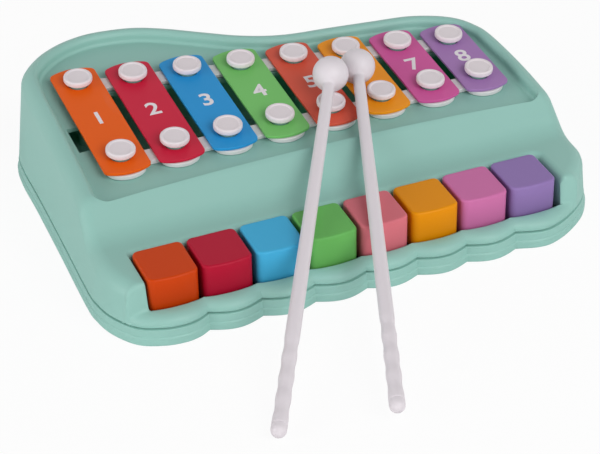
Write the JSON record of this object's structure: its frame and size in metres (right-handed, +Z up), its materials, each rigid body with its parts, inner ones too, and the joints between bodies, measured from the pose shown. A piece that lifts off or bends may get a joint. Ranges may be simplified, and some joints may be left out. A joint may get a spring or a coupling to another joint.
{
  "type": "xylophone piano toy",
  "caption": "Child's xylophone in a mint grand-piano case, whose coloured keys throw hammers at painted metal bars, with ball-headed mallets lying on it.",
  "frame": {"origin": "middle of the body on plan, in the plane of its underside", "axes": "+Z up, -Y towards the player, +X to the player's right"},
  "size_m": [0.2748, 0.3223, 0.0726],
  "materials": {
    "mint_plastic": "satin moulded",
    "white_plastic": "satin moulded",
    "strip_plastic": "matt moulded",
    "mallet_plastic": "satin moulded",
    "hammer_plastic": "matt moulded",
    "key_1_plastic": "satin moulded",
    "key_2_plastic": "satin moulded",
    "key_3_plastic": "satin moulded",
    "key_4_plastic": "satin moulded",
    "key_5_plastic": "satin moulded",
    "key_6_plastic": "satin moulded",
    "key_7_plastic": "satin moulded",
    "key_8_plastic": "satin moulded",
    "bar_1_paint": "gloss enamel",
    "bar_2_paint": "gloss enamel",
    "bar_3_paint": "gloss enamel",
    "bar_4_paint": "gloss enamel",
    "bar_5_paint": "gloss enamel",
    "bar_6_paint": "gloss enamel",
    "bar_7_paint": "gloss enamel",
    "bar_8_paint": "gloss enamel",
    "shaft_steel": "drawn",
    "screw_steel": "plated",
    "felt": "matt"
  },
  "bodies": {
    "body": {"bar_1": "bar_1_paint", "bar_2": "bar_2_paint", "bar_3": "bar_3_paint", "bar_4": "bar_4_paint", "bar_5": "bar_5_paint", "bar_6": "bar_6_paint", "bar_7": "bar_7_paint", "bar_8": "bar_8_paint", "base_screw_1": "screw_steel", "base_screw_2": "screw_steel", "base_screw_3": "screw_steel", "base_screw_4": "screw_steel", "base_screw_5": "screw_steel", "base_screw_6": "screw_steel", "base_tray": "mint_plastic", "cap_back_1": "white_plastic", "cap_back_2": "white_plastic", "cap_back_3": "white_plastic", "cap_back_4": "white_plastic", "cap_back_5": "white_plastic", "cap_back_6": "white_plastic", "cap_back_7": "white_plastic", "cap_back_8": "white_plastic", "cap_front_1": "white_plastic", "cap_front_2": "white_plastic", "cap_front_3": "white_plastic", "cap_front_4": "white_plastic", "cap_front_5": "white_plastic", "cap_front_6": "white_plastic", "cap_front_7": "white_plastic", "cap_front_8": "white_plastic", "cushion_strip_back": "strip_plastic", "cushion_strip_front": "strip_plastic", "hammer_rest_felt": "felt", "hammer_shaft": "shaft_steel", "key_shaft": "shaft_steel", "key_stop_felt": "felt", "top_housing": "mint_plastic"},
    "key_1": {"piano_key_1": "key_1_plastic"},
    "striker_1": {"hammer_1": "hammer_plastic"},
    "key_2": {"piano_key_2": "key_2_plastic"},
    "striker_2": {"hammer_2": "hammer_plastic"},
    "key_3": {"piano_key_3": "key_3_plastic"},
    "striker_3": {"hammer_3": "hammer_plastic"},
    "key_4": {"piano_key_4": "key_4_plastic"},
    "striker_4": {"hammer_4": "hammer_plastic"},
    "key_5": {"piano_key_5": "key_5_plastic"},
    "striker_5": {"hammer_5": "hammer_plastic"},
    "key_6": {"piano_key_6": "key_6_plastic"},
    "striker_6": {"hammer_6": "hammer_plastic"},
    "key_7": {"piano_key_7": "key_7_plastic"},
    "striker_7": {"hammer_7": "hammer_plastic"},
    "key_8": {"piano_key_8": "key_8_plastic"},
    "striker_8": {"hammer_8": "hammer_plastic"},
    "mallet_left": {"mallet_left": "mallet_plastic"},
    "mallet_right": {"mallet_right": "mallet_plastic"}
  },
  "joints": [
    {"name": "key_1_press", "type": "hinge", "parent": "body", "child": "key_1", "pos_m": [-0.1032, -0.0547, 0.017], "axis": [1, 0, 0], "range_deg": [0, 7.5], "stiffness_Nm_per_rad": 0.06, "springref_deg": -14.32},
    {"name": "key_2_press", "type": "hinge", "parent": "body", "child": "key_2", "pos_m": [-0.0752, -0.0547, 0.017], "axis": [1, 0, 0], "range_deg": [0, 7.5], "stiffness_Nm_per_rad": 0.06, "springref_deg": -14.32},
    {"name": "key_3_press", "type": "hinge", "parent": "body", "child": "key_3", "pos_m": [-0.0472, -0.0547, 0.017], "axis": [1, 0, 0], "range_deg": [0, 7.5], "stiffness_Nm_per_rad": 0.06, "springref_deg": -14.32},
    {"name": "key_4_press", "type": "hinge", "parent": "body", "child": "key_4", "pos_m": [-0.0192, -0.0547, 0.017], "axis": [1, 0, 0], "range_deg": [0, 7.5], "stiffness_Nm_per_rad": 0.06, "springref_deg": -14.32},
    {"name": "key_5_press", "type": "hinge", "parent": "body", "child": "key_5", "pos_m": [0.0088, -0.0547, 0.017], "axis": [1, 0, 0], "range_deg": [0, 7.5], "stiffness_Nm_per_rad": 0.06, "springref_deg": -14.32},
    {"name": "key_6_press", "type": "hinge", "parent": "body", "child": "key_6", "pos_m": [0.0368, -0.0547, 0.017], "axis": [1, 0, 0], "range_deg": [0, 7.5], "stiffness_Nm_per_rad": 0.06, "springref_deg": -14.32},
    {"name": "key_7_press", "type": "hinge", "parent": "body", "child": "key_7", "pos_m": [0.0648, -0.0547, 0.017], "axis": [1, 0, 0], "range_deg": [0, 7.5], "stiffness_Nm_per_rad": 0.06, "springref_deg": -14.32},
    {"name": "key_8_press", "type": "hinge", "parent": "body", "child": "key_8", "pos_m": [0.0928, -0.0547, 0.017], "axis": [1, 0, 0], "range_deg": [0, 7.5], "stiffness_Nm_per_rad": 0.06, "springref_deg": -14.32},
    {"name": "hammer_1_throw", "type": "hinge", "parent": "body", "child": "striker_1", "pos_m": [-0.09761, -0.0397, 0.026], "axis": [1, 0, 0], "range_deg": [0, 17.3]},
    {"name": "hammer_2_throw", "type": "hinge", "parent": "body", "child": "striker_2", "pos_m": [-0.06832, -0.0397, 0.026], "axis": [1, 0, 0], "range_deg": [0, 17.3]},
    {"name": "hammer_3_throw", "type": "hinge", "parent": "body", "child": "striker_3", "pos_m": [-0.03904, -0.0397, 0.026], "axis": [1, 0, 0], "range_deg": [0, 17.3]},
    {"name": "hammer_4_throw", "type": "hinge", "parent": "body", "child": "striker_4", "pos_m": [-0.00975, -0.0397, 0.026], "axis": [1, 0, 0], "range_deg": [0, 17.3]},
    {"name": "hammer_5_throw", "type": "hinge", "parent": "body", "child": "striker_5", "pos_m": [0.01954, -0.0397, 0.026], "axis": [1, 0, 0], "range_deg": [0, 17.3]},
    {"name": "hammer_6_throw", "type": "hinge", "parent": "body", "child": "striker_6", "pos_m": [0.04884, -0.0397, 0.026], "axis": [1, 0, 0], "range_deg": [0, 17.3]},
    {"name": "hammer_7_throw", "type": "hinge", "parent": "body", "child": "striker_7", "pos_m": [0.07812, -0.0397, 0.026], "axis": [1, 0, 0], "range_deg": [0, 17.3]},
    {"name": "hammer_8_throw", "type": "hinge", "parent": "body", "child": "striker_8", "pos_m": [0.10741, -0.0397, 0.026], "axis": [1, 0, 0], "range_deg": [0, 17.3]},
    {"name": "mallet_left_lift", "type": "slide", "parent": "body", "child": "mallet_left", "axis": [0, 0, 1], "range_m": [0, 0.08]},
    {"name": "mallet_right_lift", "type": "slide", "parent": "body", "child": "mallet_right", "axis": [0, 0, 1], "range_m": [0, 0.08]}
  ],
  "couplings": [
    {"joint": "hammer_1_throw", "follows": "key_1_press", "ratio": 2.3},
    {"joint": "hammer_2_throw", "follows": "key_2_press", "ratio": 2.3},
    {"joint": "hammer_3_throw", "follows": "key_3_press", "ratio": 2.3},
    {"joint": "hammer_4_throw", "follows": "key_4_press", "ratio": 2.3},
    {"joint": "hammer_5_throw", "follows": "key_5_press", "ratio": 2.3},
    {"joint": "hammer_6_throw", "follows": "key_6_press", "ratio": 2.3},
    {"joint": "hammer_7_throw", "follows": "key_7_press", "ratio": 2.3},
    {"joint": "hammer_8_throw", "follows": "key_8_press", "ratio": 2.3}
  ]
}
